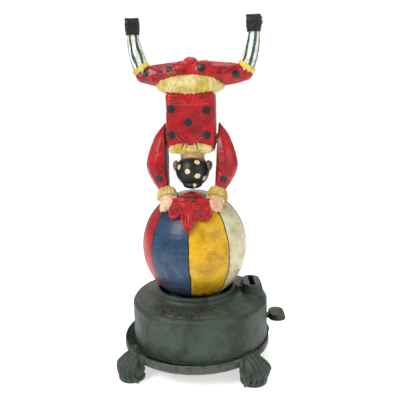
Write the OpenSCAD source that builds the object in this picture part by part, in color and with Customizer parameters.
// Mechanical coin bank: a clown who stands on his hands on a spinning globe.
//
// A cast iron drum on a four-footed ring holds the coins, the mainspring and the catch.
// The globe turns on a fixed spindle and carries both arms. The figure swings about a pin
// through the shoulders, from the handstand drawn here to a seat behind the hands.
// The origin is on the spindle's axis, in the plane of the foot soles. +Z is up, -Y is the front.

/* [Drum and ring] */
// Outer radius of the drum's wall
drum_r = 57; // [54:0.5:57]
// Distance of the drum's own axis from the spindle, towards +X
drum_shift = 3.5; // [1:0.5:3.5]
// Thickness of the cast walls of the drum
drum_wall = 3; // [2.5:0.1:3.5]
// Height of the drum's upper outer edge
drum_top_z = 55.7; // [55:0.1:57]
// Height that the sloping top gains before it meets the collar
top_rise = 4.3; // [3.5:0.1:5]
// Outer radius of the collar round the globe
collar_r = 33.5; // [33:0.5:35]
// Height of the collar's upper edge
collar_top_z = 65.2; // [64:0.1:66]
// Outer radius of the footed ring
ring_r = 62; // [62:0.5:63]
// Half width of a foot
foot_half_w = 13; // [11:0.5:14]

/* [Globe] */
// Radius of the globe at its widest
globe_r = 43.6; // [43:0.1:44]
// Half of the globe's height, a little more than its radius
globe_half_h = 46; // [45:0.1:46]
// Height of the globe's centre
globe_z = 101.5; // [101.3:0.1:101.7]
// Thickness of the globe's cast shell
globe_wall = 2.5; // [2:0.1:3]

/* [Figure] */
// Height of the shoulder pin
shoulder_z = 190; // [189.8:0.1:191]
// Half width of the torso
torso_half_w = 19.3; // [18.5:0.1:19.3]
// Half depth of the torso, front to back
torso_half_d = 12.5; // [11:0.5:13]
// Distance of a knee from the middle plane
knee_x = 40.8; // [39:0.1:42]
// Distance of an ankle from the middle plane
ankle_x = 47.2; // [45:0.1:48]
// Height of the shoe soles, which point up
sole_z = 283.5; // [280:0.5:286]
// Swing of the figure from the handstand to the seat, in degrees
seat_swing = 142; // [138:1:142]

/* [Coin slot and lever] */
// Bearing of the coin boss and the lever, counted from the front towards +X
lever_bearing = 98; // [95:1:101]
// Length of the coin slot
slot_length = 22; // [20:0.5:22]
// Width of the coin slot
slot_width = 4; // [3:0.1:4.4]
// Radius of the thumb pad's rounded ends at its foot
pad_r = 7.6; // [7:0.1:8]
// Distance of the thumb pad from the spindle
pad_reach = 69.6; // [69.2:0.2:71]

/* [Hidden] */
$fn = 96;
hull_fn = 24;
eps = 0.01;

// Clearances on a radius: a running fit, a loose hole, and free air between parts
run = 0.05;
loose = 0.1;
air = 0.4;

// Base casting: floor, rim and feet
floor_bottom_z = 17;
floor_top_z = 20;
rim_bottom_z = 14.5;
rim_top_z = 22.4;
rim_t = 1.1;
foot_reach = 64.4;
foot_bearings = [51, 129, 231, 309];

// Drum cover
collar_foot_r = 36.5;
cup_floor_z = 51.2;
cup_floor_t = 2;
pillar_bearings = [25, 165, 315];
pillar_reach = 47;
pillar_r = 4;
cover_screw_r = 1.8;
cover_screw_l = 13;

// Coin boss
boss_reach = 47.8;
boss_top_z = 67.2;
boss_half_l = 13;
boss_half_w = 7.5;
boss_spread = 4;

// Spindle and hub
spindle_r = 4;
spindle_tip_r = 3;
spindle_top_z = 137;
spindle_boss_r = 9;
spindle_boss_z = 26;
hub_bottom_z = 27.5;
hub_r = 8.5;
hub_top_z = 70;
flange_r = 14.5;
flange_top_z = 64;
hub_screw_reach = 11;
hub_screw_r = 1.4;
hub_screw_head_z = 56.3;
hub_screw_head_t = 1.4;
hub_screw_head_r = 2.4;

// Catch wheel and mainspring
wheel_r = 30;
wheel_z = 30;
wheel_t = 3;
spring_z = 43.5;
spring_h = 7;
spring_t = 0.8;
spring_turns = 4;
spring_in_r = 9.4;
spring_out_r = 32;
post_reach = 37;
post_r = 2;
post_bearing = 75;

// Lever
lever_pivot_r = 40;
lever_pivot_z = 34.9;
lever_bar_t = 3;
lever_w = 6;
lever_tip_r = 27.5;
lever_pin_r = 1.6;
lug_gap = 1;
lug_t = 3;
pad_top_z = 38;
pad_t = 5;
pad_end_y = 3;
lever_spring_reach = 52.5;
lever_spring_r = 2.4;
lever_spring_wire = 0.4;
lever_spring_top_z = 32.3;

// Coin trap in the floor
trap_x = -30;
trap_r = 14;
trap_ridge_h = 2.6;
trap_bar_half_l = 18;
trap_bar_w = 7;
trap_bar_t = 1.5;
trap_rivet_r = 2;

// Frame inside the globe
guide_x = 10;
guide_r = 1.6;
guide_bottom_z = 60;
plate_r = 18.5;
plate_z = 133;
plate_top_z = 141;
plate_web_z = 137.5;
nut_r = 13;
nut_z = 116;
nut_t = 6;

// Scroll bracket and the screws that hold the globe's halves to the top plate
bracket_tilt = 27;
outline_tilt = 35;
bracket_in = 1.2;
bracket_t = 2;
screw_r = 1.8;
screw_head_r = 4.4;
screw_head_t = 1.6;
screw_tip = 33.5;
rear_tilt = 24;

// Seat latch, in the plane x = 0
latch_y = 20;
latch_z = 124;
latch_pin_r = 1.5;
latch_half_w = 2;
latch_slot_tilt = 45;
latch_slot_side = 0.8;
ear_x = 6;
ear_t = 2.5;

// Arms
arm_inner_x = 20.9;
arm_inner_tilt = 3.2;
arm_lean = 13;
pin_r = 2.5;
pin_half_l = 26;
washer_r = 4.2;
washer_t = 0.9;

// Figure
neck_r = 8.5;
tenon_r = 5;
head_r = 14;
head_z = 164.5;
head_y = -2;
torso_low_z = 181.5;
torso_high_z = 226;
torso_wall = 3;
peplum_half_w = 27.5;
peplum_top_z = 236;
knee_z = 243.5;
ankle_z = 270;
leg_shift = 2.5;
rivet_r = 1.6;
chest_rivet_z = 214;
hip_rivet_z = 244;
half_gap = 0.05;

// ---------------------------------------------------------------- helpers

// Places children at a bearing counted from the front towards +X, their own +X pointing outwards
module at_bearing(bearing, reach = 0, z = 0) {
    rotate([0, 0, bearing - 90]) translate([reach, 0, z]) children();
}

// Turns a shape drawn in the seated pose back into the handstand
module unseat() {
    translate([0, 0, shoulder_z]) rotate([seat_swing, 0, 0]) translate([0, 0, -shoulder_z]) children();
}

// Half outline of the globe, or of a shape that stands off it by grow
function globe_outline(grow, steps = 36) = [for (i = [0:steps]) let (a = 180 * i / steps - 90)
    [(globe_r + grow) * cos(a), (globe_half_h + grow) * sin(a)]];
module globe_body(grow = 0) {
    translate([0, 0, globe_z]) rotate_extrude() polygon(globe_outline(grow));
}

// Distance from the globe's centre to its surface, along a line tilted from the vertical
function globe_reach(tilt) = 1 / sqrt(pow(sin(tilt) / globe_r, 2) + pow(cos(tilt) / globe_half_h, 2));

// Axis from the globe's centre, tilted from the vertical towards the front (positive) or the rear
module globe_axis(tilt) {
    translate([0, 0, globe_z]) rotate([tilt, 0, 0]) children();
}

module cylinder_x(r, x0, x1) {
    translate([x0, 0, 0]) rotate([0, 90, 0]) cylinder(r = r, h = x1 - x0);
}

module cylinder_y(r, y0, y1) {
    translate([0, y0, 0]) rotate([-90, 0, 0]) cylinder(r = r, h = y1 - y0);
}

// A round wire swept along points, as one closed solid
function unit(v) = v / norm(v);
function tangent(p, i) = unit(p[min(i + 1, len(p) - 1)] - p[max(i - 1, 0)]);
function wire_ring(p, i, r, sides, up) =
    let (t = tangent(p, i), a = unit(cross(t, up)), b = cross(a, t))
    [for (k = [0:sides - 1]) p[i] + r * (cos(360 * k / sides) * a + sin(360 * k / sides) * b)];
module wire(p, r, up = [0, 0, 1], sides = 8) {
    n = len(p);
    points = [for (i = [0:n - 1]) each wire_ring(p, i, r, sides, up)];
    walls = [for (i = [0:n - 2], k = [0:sides - 1])
        let (a = i * sides + k, b = i * sides + (k + 1) % sides) [a, a + sides, b + sides, b]];
    caps = [[for (k = [0:sides - 1]) k], [for (k = [sides - 1:-1:0]) (n - 1) * sides + k]];
    polyhedron(points = points, faces = concat(walls, caps), convexity = 8);
}

// Points of a helix about Z
function helix(r, z0, z1, turns, steps = 14) =
    [for (i = [0:turns * steps]) let (a = 360 * i / steps)
        [r * cos(a), r * sin(a), z0 + (z1 - z0) * i / (turns * steps)]];

// ---------------------------------------------------------------- base

// Side outline of a foot in (reach, height), from the rim out and down to the sole
module foot_outline() {
    polygon([[ring_r - 8, 18.2], [ring_r - 2, 20.2], [ring_r + 4, 20], [ring_r + 8.5, 17.2],
        [ring_r + 12.2, 12.3], [ring_r + 14.5, 7], [ring_r + 14, 2.5], [ring_r + 12, 0],
        [ring_r + 1, 0], [ring_r - 1.3, 3], [ring_r - 2.6, 8], [ring_r - 4, 13], [ring_r - 8, 13.8]]);
}

module foot() {
    intersection() {
        rotate([90, 0, 0]) translate([0, 0, -foot_half_w - 1])
            linear_extrude(2 * foot_half_w + 2) foot_outline();
        union() {
            translate([foot_reach, 0, -1]) cylinder(r = foot_half_w, h = 30);
            translate([ring_r - 9, -8, -1]) cube([13, 16, 30]);
        }
    }
}

module base_casting() {
    color([0.24, 0.27, 0.24]) difference() {
        union() {
            rotate_extrude() polygon([[0, floor_bottom_z], [ring_r - 6, floor_bottom_z],
                [ring_r - 5, rim_bottom_z], [ring_r - 1.5, rim_bottom_z], [ring_r, rim_bottom_z + 2],
                [ring_r, rim_top_z - 0.9], [ring_r - 0.4, rim_top_z], [ring_r - rim_t, rim_top_z],
                [ring_r - rim_t, floor_top_z], [0, floor_top_z]]);
            translate([0, 0, floor_bottom_z]) cylinder(r = spindle_boss_r, h = spindle_boss_z - floor_bottom_z);
            for (b = foot_bearings) at_bearing(b) foot();
            // Fulcrum lugs of the lever
            at_bearing(lever_bearing, lever_pivot_r) for (side = [0, 1]) mirror([0, side, 0])
                translate([-3.5, lever_w / 2 + lug_gap, floor_bottom_z]) cube([7, lug_t, lever_pivot_z + 3 - floor_bottom_z]);
        }
        // Spindle seat
        translate([0, 0, floor_bottom_z - 1]) cylinder(r = spindle_r, h = 20);
        // Lever pin
        at_bearing(lever_bearing, lever_pivot_r, lever_pivot_z) cylinder_y(lever_pin_r, -9, 9);
        // Cover screws
        for (b = pillar_bearings) at_bearing(b, pillar_reach, floor_bottom_z - 1)
            cylinder(r = cover_screw_r + loose, h = 8);
        // Mainspring post
        at_bearing(post_bearing, post_reach, floor_bottom_z - 1) cylinder(r = post_r, h = 8);
        // Coin trap hole, with two notches that let its bar through when it is turned
        translate([trap_x, 0, floor_bottom_z - 1]) cylinder(r = trap_r + air, h = 8);
        translate([trap_x - trap_bar_w / 2 - air, -trap_bar_half_l - air, floor_bottom_z - 1])
            cube([trap_bar_w + 2 * air, 2 * (trap_bar_half_l + air), 8]);
    }
}

// Outer shape of the drum, its sloping top and its collar
module drum_solid() {
    translate([drum_shift, 0, floor_top_z]) cylinder(r = drum_r, h = drum_top_z - floor_top_z);
    translate([drum_shift, 0, drum_top_z]) cylinder(r1 = drum_r, r2 = collar_foot_r, h = top_rise);
    translate([0, 0, cup_floor_z]) cylinder(r = collar_r, h = collar_top_z - cup_floor_z);
}

// Tapered boss with round ends round the coin slot
module coin_boss() {
    foot_z = drum_top_z - 2;
    at_bearing(lever_bearing, boss_reach, foot_z) hull() for (side = [-1, 1])
        translate([0, side * (boss_half_l - boss_half_w), 0])
            cylinder(r1 = boss_half_w + boss_spread, r2 = boss_half_w, h = boss_top_z - foot_z, $fn = 48);
}

// Hollow of the drum round the cup that the globe sits in
module drum_hollow() {
    inner_r = drum_r - drum_wall;
    difference() {
        union() {
            translate([drum_shift, 0, floor_top_z - 1])
                cylinder(r = inner_r, h = drum_top_z - drum_wall - floor_top_z + 1);
            translate([drum_shift, 0, drum_top_z - drum_wall - eps])
                cylinder(r1 = inner_r, r2 = collar_foot_r - drum_wall, h = top_rise);
        }
        translate([0, 0, cup_floor_z]) cylinder(r = collar_r, h = 40);
    }
}

module drum_cover() {
    color([0.24, 0.27, 0.24]) difference() {
        union() {
            difference() {
                union() {
                    drum_solid();
                    intersection() {
                        coin_boss();
                        translate([drum_shift, 0, 0]) cylinder(r = drum_r, h = 100);
                    }
                }
                drum_hollow();
                // Cup under the globe
                translate([0, 0, cup_floor_z + cup_floor_t]) cylinder(r = collar_r - drum_wall, h = 40);
                // Way through the cup's floor for the hub
                cylinder(r = hub_r + air, h = 100);
            }
            for (b = pillar_bearings) at_bearing(b, pillar_reach, floor_top_z)
                cylinder(r = pillar_r, h = drum_top_z - 1 - floor_top_z);
        }
        // Tapped holes in the pillars
        for (b = pillar_bearings) at_bearing(b, pillar_reach, floor_top_z - 1) cylinder(r = cover_screw_r, h = 14);
        // Coin slot, straight down through the boss
        at_bearing(lever_bearing, boss_reach, 40) translate([-slot_width / 2, -slot_length / 2, 0])
            cube([slot_width, slot_length, 60]);
        // Opening in the wall for the lever
        at_bearing(lever_bearing, 50, 25) translate([0, -lever_w / 2 - 1, 0]) cube([20, lever_w + 2, 13]);
    }
}

module cover_screws() {
    head_t = 2;
    color([0.45, 0.44, 0.42]) for (b = pillar_bearings) at_bearing(b, pillar_reach) difference() {
        union() {
            translate([0, 0, floor_bottom_z - head_t]) cylinder(r = pillar_r, h = head_t);
            translate([0, 0, floor_bottom_z - eps]) cylinder(r = cover_screw_r, h = cover_screw_l);
        }
        translate([-5, -0.5, floor_bottom_z - head_t - 1]) cube([10, 1, 1.8]);
    }
}

module spindle() {
    shoulder = plate_z - 1;
    color([0.6, 0.6, 0.58]) {
        translate([0, 0, floor_bottom_z]) cylinder(r = spindle_r, h = shoulder - floor_bottom_z);
        translate([0, 0, shoulder - eps]) cylinder(r = spindle_tip_r, h = spindle_top_z - shoulder + eps);
    }
}

module thrust_washer() {
    color([0.75, 0.6, 0.3]) difference() {
        translate([0, 0, spindle_boss_z]) cylinder(r = 8, h = hub_bottom_z - air - spindle_boss_z);
        cylinder(r = spindle_r + run, h = 100);
    }
}

function spiral_r(a) = spring_in_r + (spring_out_r - spring_in_r) * a / (360 * spring_turns);
module mainspring() {
    steps = 22 * spring_turns;
    angles = [for (i = [0:steps]) 360 * spring_turns * i / steps];
    inner = [for (a = angles) spiral_r(a) * [cos(a), sin(a)]];
    outer = [for (i = [steps:-1:0]) let (a = angles[i]) (spiral_r(a) + spring_t) * [cos(a), sin(a)]];
    color([0.3, 0.32, 0.38]) at_bearing(post_bearing, 0, spring_z) {
        linear_extrude(spring_h) polygon(concat(inner, outer));
        // Eye round the hub
        difference() {
            cylinder(r = spring_in_r + 0.3, h = spring_h);
            translate([0, 0, -1]) cylinder(r = hub_r + loose, h = spring_h + 2);
        }
        // Straight tail out to the eye on the post
        translate([spring_out_r, 0, 0]) cube([post_reach - post_r - spring_out_r - eps, spring_t, spring_h]);
        translate([post_reach, 0, 0]) difference() {
            cylinder(r = post_r + spring_t, h = spring_h);
            translate([0, 0, -1]) cylinder(r = post_r + eps, h = spring_h + 2);
        }
    }
}

module mainspring_post() {
    color([0.6, 0.6, 0.58]) at_bearing(post_bearing, post_reach, floor_bottom_z)
        cylinder(r = post_r, h = spring_z + spring_h + 1 - floor_bottom_z);
}

// ---------------------------------------------------------------- lever

module lever() {
    tail = lever_pivot_r - lever_tip_r;
    pad_x = pad_reach - lever_pivot_r;
    color([0.24, 0.27, 0.24]) at_bearing(lever_bearing, lever_pivot_r) difference() {
        union() {
            // Eye on the pin
            translate([0, 0, lever_pivot_z]) cylinder_y(3, -lever_w / 2, lever_w / 2);
            // Inner bar, whose tip rests just over the catch wheel
            translate([-tail, -lever_w / 2, wheel_z + wheel_t + air]) cube([tail, lever_w, lever_bar_t]);
            // Outer bar, running out to the pad
            hull() {
                translate([0, -lever_w / 2, lever_pivot_z - 2]) cube([1, lever_w, lever_bar_t]);
                translate([pad_x - 6, -lever_w / 2, pad_top_z - pad_t]) cube([1, lever_w, lever_bar_t]);
            }
            // Thumb pad, oval and wider at its foot
            hull() for (side = [-1, 1]) translate([pad_x, side * pad_end_y, pad_top_z - pad_t])
                cylinder(r1 = pad_r, r2 = pad_r - 1.4, h = pad_t, $fn = 48);
        }
        translate([0, 0, lever_pivot_z]) cylinder_y(lever_pin_r + run, -10, 10);
    }
}

module lever_pin() {
    half_l = lever_w / 2 + lug_gap + lug_t + 0.5;
    color([0.6, 0.6, 0.58]) at_bearing(lever_bearing, lever_pivot_r, lever_pivot_z)
        cylinder_y(lever_pin_r, -half_l, half_l);
}

module lever_spring() {
    color([0.5, 0.5, 0.52]) at_bearing(lever_bearing, lever_spring_reach)
        wire(helix(lever_spring_r, floor_top_z + lever_spring_wire, lever_spring_top_z, 5), lever_spring_wire);
}

// ---------------------------------------------------------------- coin trap

module coin_trap() {
    color([0.5, 0.42, 0.3]) translate([trap_x, 0, floor_bottom_z]) difference() {
        union() {
            cylinder(r = trap_r, h = floor_top_z - floor_bottom_z);
            // Finger ridge across the underside
            translate([-10, -1.5, -trap_ridge_h]) cube([20, 3, trap_ridge_h + 0.1]);
        }
        translate([0, 0, -5]) cylinder(r = trap_rivet_r, h = 20);
    }
}

module trap_bar() {
    color([0.5, 0.5, 0.52]) translate([trap_x, 0, floor_top_z + air]) difference() {
        translate([-trap_bar_half_l, -trap_bar_w / 2, 0]) cube([2 * trap_bar_half_l, trap_bar_w, trap_bar_t]);
        translate([0, 0, -1]) cylinder(r = trap_rivet_r, h = 4);
    }
}

module trap_rivet() {
    bottom = floor_bottom_z - trap_ridge_h;
    top = floor_top_z + air + trap_bar_t;
    color([0.6, 0.6, 0.58]) translate([trap_x, 0, 0]) {
        translate([0, 0, bottom]) cylinder(r = trap_rivet_r, h = top - bottom);
        translate([0, 0, floor_top_z]) cylinder(r = 3, h = air);
        translate([0, 0, top]) cylinder(r1 = 3.6, r2 = 2.4, h = 1.5);
    }
}

// ---------------------------------------------------------------- globe

// Both halves of the shell in one, with its holes
module globe_shell() {
    difference() {
        globe_body();
        globe_body(-globe_wall);
        cylinder(r = hub_r + loose, h = globe_z);
        globe_axis(bracket_tilt) cylinder(r = screw_r, h = 60);
        globe_axis(-rear_tilt) cylinder(r = screw_r, h = 60);
        // Sunk seat of the rear screw's head
        globe_axis(-rear_tilt) translate([0, 0, globe_reach(rear_tilt) - screw_head_t])
            cylinder(r = screw_head_r + loose, h = 10);
        // Slot for the seat latch
        globe_axis(-latch_slot_tilt) translate([-latch_half_w - latch_slot_side, -5, 30])
            cube([2 * (latch_half_w + latch_slot_side), 12.5, 20]);
        // Flats for the hub screws
        for (a = [90, 270]) rotate([0, 0, a]) translate([hub_screw_reach, 0, 0]) {
            cylinder(r = hub_screw_r, h = 70);
            cylinder(r = hub_screw_head_r + loose, h = hub_screw_head_z + hub_screw_head_t);
        }
    }
}

module globe_front_half() {
    color([0.2, 0.3, 0.5]) intersection() {
        globe_shell();
        translate([-60, -60 - half_gap, 40]) cube([120, 60, 130]);
    }
}

module globe_rear_half() {
    color([0.85, 0.7, 0.1]) intersection() {
        globe_shell();
        translate([-60, half_gap, 40]) cube([120, 60, 130]);
    }
}

// Hub that runs on the spindle; its flange lies against the inside of the shell
module hub() {
    color([0.35, 0.35, 0.33]) difference() {
        union() {
            translate([0, 0, hub_bottom_z]) cylinder(r = hub_r, h = hub_top_z - hub_bottom_z);
            intersection() {
                cylinder(r = flange_r, h = flange_top_z);
                globe_body(-globe_wall - eps);
            }
        }
        translate([0, 0, hub_bottom_z - 1]) cylinder(r = spindle_r + run, h = 60);
        for (s = [-1, 1]) translate([s * guide_x, 0, guide_bottom_z]) cylinder(r = guide_r, h = 20);
        for (a = [90, 270]) rotate([0, 0, a]) translate([hub_screw_reach, 0, 50]) cylinder(r = hub_screw_r, h = 20);
    }
}

// Two screws that hold the halves' lower edges against the hub's flange
module hub_screws() {
    color([0.45, 0.44, 0.42]) for (a = [90, 270]) rotate([0, 0, a])
        translate([hub_screw_reach, 0, hub_screw_head_z]) difference() {
            union() {
                cylinder(r = hub_screw_head_r, h = hub_screw_head_t);
                translate([0, 0, hub_screw_head_t - eps]) cylinder(r = hub_screw_r, h = 6);
            }
            translate([-3, -0.35, -1]) cube([6, 0.7, 1.7]);
        }
}

module catch_wheel() {
    color([0.35, 0.35, 0.33]) difference() {
        translate([0, 0, wheel_z]) cylinder(r = wheel_r, h = wheel_t);
        cylinder(r = hub_r, h = 60);
        // The notch that the lever's tip drops into when the globe is wound
        at_bearing(lever_bearing + 180, wheel_r - 4, wheel_z - 1) translate([0, -lever_w / 2 - air, 0])
            cube([20, lever_w + 2 * air, 10]);
        for (a = [0:60:300]) rotate([0, 0, a + 25]) translate([17, 0, 0]) cylinder(r = 4.5, h = 60);
    }
}

module guide_rods() {
    color([0.6, 0.6, 0.58]) for (s = [-1, 1]) translate([s * guide_x, 0, guide_bottom_z])
        cylinder(r = guide_r, h = plate_web_z - guide_bottom_z);
}

// Dished plate under the crown of the globe, with two ears that carry the latch pin
module top_plate() {
    color([0.35, 0.35, 0.33]) difference() {
        union() {
            intersection() {
                translate([0, 0, plate_z]) cylinder(r = plate_r, h = plate_top_z - plate_z);
                globe_body(-globe_wall - eps);
            }
            for (s = [-1, 1]) translate([s * ear_x - ear_t / 2, 13, latch_z - 4])
                cube([ear_t, 10, plate_z + 2 - latch_z + 4]);
        }
        translate([0, 0, plate_web_z]) cylinder(r = 13, h = 20);
        translate([0, 0, plate_z - 1]) cylinder(r = spindle_tip_r + run, h = 10);
        for (s = [-1, 1]) translate([s * guide_x, 0, plate_z - 1]) cylinder(r = guide_r, h = 10);
        globe_axis(bracket_tilt) cylinder(r = screw_r, h = 60);
        globe_axis(-rear_tilt) cylinder(r = screw_r, h = 60);
        translate([0, latch_y, latch_z]) cylinder_x(latch_pin_r, -10, 10);
        // Room for the latch between the ears
        translate([-latch_half_w - 1, 12, plate_z - 1]) cube([2 * latch_half_w + 2, 20, 20]);
    }
}

module trip_nut() {
    color([0.75, 0.6, 0.3]) difference() {
        translate([0, 0, nut_z]) cylinder(r = nut_r, h = nut_t);
        cylinder(r = spindle_r + run, h = 200);
        for (s = [-1, 1]) translate([s * guide_x, 0, 0]) cylinder(r = guide_r + run, h = 200);
    }
}

// ---------------------------------------------------------------- seat latch

module seat_latch() {
    tail_t = 1.2;
    color([0.5, 0.5, 0.52]) difference() {
        translate([-latch_half_w, 0, 0]) rotate([90, 0, 90]) linear_extrude(2 * latch_half_w)
            polygon([[latch_y - 3, latch_z + 3], [latch_y + 2, latch_z + 3.5], [30.5, 133.5], [33.8, 135.2],
                [34.6, 133.6], [32.5, 130.8], [latch_y + 3, latch_z - 2], [latch_y, latch_z - 3],
                [latch_y - 4, latch_z - tail_t], [8.6, latch_z - tail_t], [8.6, latch_z + tail_t],
                [latch_y - 4, latch_z + tail_t]]);
        translate([0, latch_y, latch_z]) cylinder_x(latch_pin_r + run, -10, 10);
    }
}

module latch_pin() {
    half_l = ear_x + ear_t / 2;
    color([0.6, 0.6, 0.58]) translate([0, latch_y, latch_z]) cylinder_x(latch_pin_r, -half_l, half_l);
}

// Torsion spring beside the latch, wound round the pin
module latch_spring() {
    color([0.5, 0.5, 0.52]) translate([2.7, latch_y, latch_z]) rotate([0, 90, 0])
        wire(helix(2.2, 0, 1.5, 2), 0.3);
}

// ---------------------------------------------------------------- arms and bracket

// Points along an arc of the right-hand scroll, run clockwise
function arc(centre, r, from, to, steps = 10) =
    [for (i = [0:steps]) let (a = from + (to - from) * i / steps) centre + r * [cos(a), sin(a)]];

// Outline of the scroll ornament seen square on: a peak, two ears, two scrolls and a leaf
right_edge = concat([[8, 13.5], [9, 11], [15, 9.5], [15.3, 2]], arc([11, -5], 5.6, 50, -150),
    [[6.8, -11], [4.5, -16]]);
module bracket_outline() {
    polygon(concat([[0, 17.5]], right_edge, [[0, -23]],
        [for (i = [len(right_edge) - 1:-1:0]) [-right_edge[i][0], right_edge[i][1]]]));
}

// Space between two shells round the globe, inside the bracket's outline
module bracket_layer(low, high) {
    difference() {
        intersection() {
            globe_body(high);
            globe_axis(outline_tilt) linear_extrude(70) bracket_outline();
        }
        globe_body(low);
    }
}

module scroll_bracket() {
    color([0.7, 0.08, 0.1]) difference() {
        bracket_layer(bracket_in, bracket_in + bracket_t);
        globe_axis(bracket_tilt) cylinder(r = screw_r + loose, h = 60);
    }
}

module slotted_screw(tilt, head_in) {
    globe_axis(tilt) difference() {
        union() {
            translate([0, 0, head_in]) cylinder(r = screw_head_r, h = screw_head_t);
            translate([0, 0, screw_tip]) cylinder(r = screw_r, h = head_in - screw_tip + eps);
        }
        translate([-5, -0.5, head_in + screw_head_t - 0.9]) cube([10, 1, 3]);
    }
}

module bracket_screw() {
    color([0.45, 0.2, 0.18]) slotted_screw(bracket_tilt, globe_reach(bracket_tilt) + bracket_in + bracket_t);
}

module rear_screw() {
    color([0.45, 0.44, 0.42]) slotted_screw(-rear_tilt, globe_reach(rear_tilt) - screw_head_t);
}

// Sleeve of the arm on the +X side, flat on its inner side
module sleeve() {
    intersection() {
        translate([0, 0, shoulder_z]) rotate([-arm_lean, 0, 0]) hull() {
            translate([arm_inner_x + 1.2, 0, 9]) sphere(r = 1.8, $fn = hull_fn);
            translate([arm_inner_x + 1.8, 0, 0]) sphere(r = 8, $fn = hull_fn);
            translate([27.6, 0, -22]) sphere(r = 9.6, $fn = hull_fn);
            translate([21.6, 0, -39]) sphere(r = 5.4, $fn = hull_fn);
        }
        translate([arm_inner_x, -40, shoulder_z]) rotate([0, arm_inner_tilt, 0]) translate([0, 0, -80])
            cube([40, 80, 120]);
    }
}

module arm() {
    difference() {
        union() {
            sleeve();
            // Frilled cuff
            translate([21.5, -9.6, 150.5]) rotate([-35, 12, 0]) translate([0, 0, -6])
                cylinder(r1 = 8.6, r2 = 7, h = 7);
            // Hand on the globe
            hull() {
                translate([21, -12, 145]) sphere(r = 7, $fn = hull_fn);
                translate([22.5, -21.5, 138]) sphere(r = 4.5, $fn = hull_fn);
                translate([16, -22.5, 140]) sphere(r = 4, $fn = hull_fn);
            }
            // Tab that the bracket clamps to the globe
            intersection() {
                globe_body(bracket_in - eps);
                translate([4, -24, globe_z + 20]) cube([16, 16, 40]);
            }
        }
        globe_body(eps);
        // Nothing of the hand where the bracket lies
        bracket_layer(bracket_in - eps, bracket_in + 20);
        translate([0, 0, shoulder_z]) cylinder_x(pin_r, 0, pin_half_l);
    }
}

module right_arm() {
    color([0.7, 0.08, 0.1]) arm();
}

module left_arm() {
    color([0.7, 0.08, 0.1]) mirror([1, 0, 0]) arm();
}

module shoulder_pin() {
    color([0.6, 0.6, 0.58]) translate([0, 0, shoulder_z]) cylinder_x(pin_r, -pin_half_l, pin_half_l);
}

// A washer each side, in the middle of the gap between the torso and the arm
module shoulder_washers() {
    middle = (torso_half_w + arm_inner_x) / 2;
    color([0.1, 0.1, 0.1]) translate([0, 0, shoulder_z]) for (side = [0, 1]) mirror([side, 0, 0]) difference() {
        cylinder_x(washer_r, middle - washer_t / 2, middle + washer_t / 2);
        cylinder_x(pin_r + eps, 0, 30);
    }
}

// ---------------------------------------------------------------- figure

// Block of the trunk with round corners
module trunk(hw, hd, z0, z1, corner = 7) {
    translate([0, 0, z0]) {
        translate([-hw, -hd + corner, 0]) cube([2 * hw, 2 * (hd - corner), z1 - z0]);
        translate([-hw + corner, -hd, 0]) cube([2 * (hw - corner), 2 * hd, z1 - z0]);
        for (x = [-1, 1], y = [-1, 1]) translate([x * (hw - corner), y * (hd - corner), 0])
            cylinder(r = corner, h = z1 - z0);
    }
}

// Leg on the +X side: a thigh spread sideways, a shin pointing up and a shoe
module leg() {
    hull() {
        translate([10, 0, 241]) sphere(r = 10, $fn = hull_fn);
        translate([22, 0, 239.5]) sphere(r = 10, $fn = hull_fn);
        translate([knee_x - 1, 0, knee_z - 2.5]) sphere(r = 7, $fn = hull_fn);
    }
    hull() {
        translate([knee_x, 0, knee_z]) sphere(r = 6, $fn = hull_fn);
        translate([ankle_x - 1.3, 0, ankle_z - 11]) sphere(r = 5.8, $fn = hull_fn);
        translate([ankle_x, 0, ankle_z]) sphere(r = 4.9, $fn = hull_fn);
    }
    translate([ankle_x, 0, 0]) rotate([0, 0, -8]) hull() {
        translate([0, -1, sole_z - 11.5]) cylinder(r = 5.4, h = 11.5, $fn = hull_fn);
        translate([0, 13, sole_z - 6.5]) cylinder(r = 4.6, h = 6.5, $fn = hull_fn);
    }
}

module figure_solid() {
    trunk(torso_half_w, torso_half_d, torso_low_z, torso_high_z);
    // Peplum round the waist
    trunk(peplum_half_w, torso_half_d + 1.5, torso_high_z - 1.5, peplum_top_z, 12);
    translate([0, 0, 246]) sphere(r = 8);
    // The cast legs sit a little towards +X
    translate([leg_shift, 0, 0]) for (side = [0, 1]) mirror([side, 0, 0]) leg();
}

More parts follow.
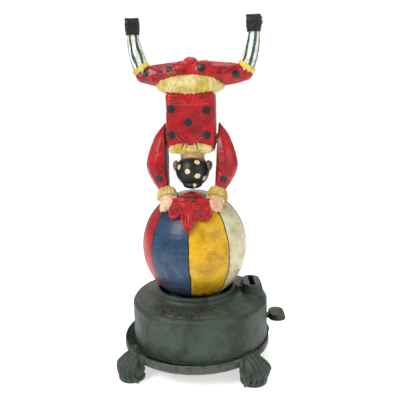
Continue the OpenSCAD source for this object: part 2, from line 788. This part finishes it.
module figure_hollow() {
    trunk(torso_half_w - torso_wall, torso_half_d - torso_wall, torso_low_z + 4, torso_high_z + 4, 4);
    translate([0, 0, torso_low_z - 1]) cylinder(r = tenon_r, h = 8);
    translate([0, 0, shoulder_z]) cylinder_x(pin_r + run, -40, 40);
    translate([0, 0, chest_rivet_z]) cylinder_y(rivet_r, -40, 40);
    translate([0, 0, hip_rivet_z]) cylinder_y(rivet_r, -40, 40);
    // Seat, hollowed to the globe, and the pocket that the latch enters
    unseat() {
        globe_body(0.5);
        translate([-latch_half_w - 1, 24, 124]) cube([2 * latch_half_w + 2, 14, 15]);
    }
}

module torso_back_half() {
    color([0.7, 0.08, 0.1]) difference() {
        figure_solid();
        figure_hollow();
        translate([-80, -half_gap, 150]) cube([160, 60, 160]);
    }
}

module torso_front_half() {
    color([0.62, 0.07, 0.09]) difference() {
        figure_solid();
        figure_hollow();
        translate([-80, half_gap - 60, 150]) cube([160, 60, 160]);
    }
}

module head() {
    color([0.85, 0.7, 0.6]) {
        translate([0, head_y, head_z]) sphere(r = head_r);
        translate([0, 0, head_z + 5]) cylinder(r = neck_r, h = torso_low_z - head_z - 5);
        translate([0, 0, torso_low_z - eps]) cylinder(r = tenon_r, h = 4);
        for (s = [-1, 1]) translate([s * 13.5, head_y + 1, head_z + 4]) sphere(r = 3.2);
        translate([0, head_y + head_r, head_z + 2]) sphere(r = 2.4);
    }
}

module body_rivets() {
    color([0.6, 0.6, 0.58]) {
        translate([0, 0, chest_rivet_z]) cylinder_y(rivet_r, -torso_half_d, torso_half_d);
        translate([0, 0, hip_rivet_z]) cylinder_y(rivet_r, -7.5, 4);
    }
}

module flip_spring() {
    color([0.5, 0.5, 0.52]) translate([-8, 0, shoulder_z]) rotate([0, 90, 0])
        wire(helix(3.5, 0, 16, 8), 0.5);
}

// ---------------------------------------------------------------- drawing

base_casting();
drum_cover();
cover_screws();
spindle();
thrust_washer();
mainspring();
mainspring_post();
lever();
lever_pin();
lever_spring();
coin_trap();
trap_bar();
trap_rivet();
globe_front_half();
globe_rear_half();
hub();
catch_wheel();
hub_screws();
guide_rods();
top_plate();
trip_nut();
scroll_bracket();
bracket_screw();
rear_screw();
left_arm();
right_arm();
shoulder_pin();
shoulder_washers();
seat_latch();
latch_pin();
latch_spring();
torso_back_half();
torso_front_half();
head();
body_rivets();
flip_spring();
